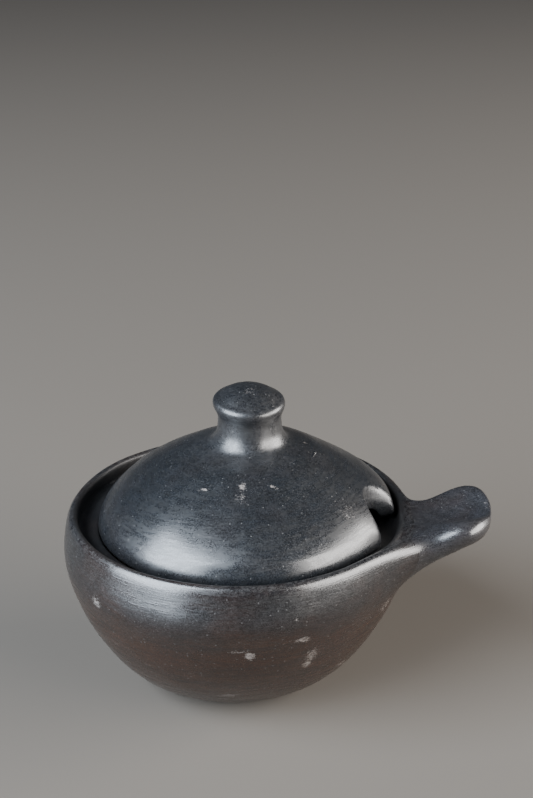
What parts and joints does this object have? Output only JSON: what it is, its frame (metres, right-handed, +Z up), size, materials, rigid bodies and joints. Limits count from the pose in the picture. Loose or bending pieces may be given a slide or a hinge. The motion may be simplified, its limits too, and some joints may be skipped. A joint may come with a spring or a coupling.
{
  "type": "small lidded clay pot with a lug handle",
  "caption": "Small hand-built pot of burnished black clay: round bowl, lug handle with a thumb hollow, and a domed lid with a knob and a spoon notch.",
  "frame": {"origin": "centre of the flat base that the pot stands on", "axes": "+Z up along the bowl's axis; +X towards the handle"},
  "size_m": [0.1457, 0.1182, 0.1056],
  "materials": {
    "bowl_clay": "smoke-blackened clay, burnished by hand in level strokes, brownish on the lower wall",
    "handle_clay": "smoke-blackened clay, burnished along the rolled edges",
    "lid_clay": "smoke-blackened clay, burnished to a soft charcoal gloss with fine pale specks",
    "knob_clay": "smoke-blackened clay, burnished by fingers"
  },
  "bodies": {
    "pot": {"bowl": "bowl_clay", "handle": "handle_clay"},
    "lid": {"lid": "lid_clay", "lid_knob": "knob_clay"}
  },
  "joints": [
    {"name": "lid_lift", "type": "slide", "parent": "pot", "child": "lid", "axis": [0, 0, 1], "range_m": [0, 0.07]}
  ]
}
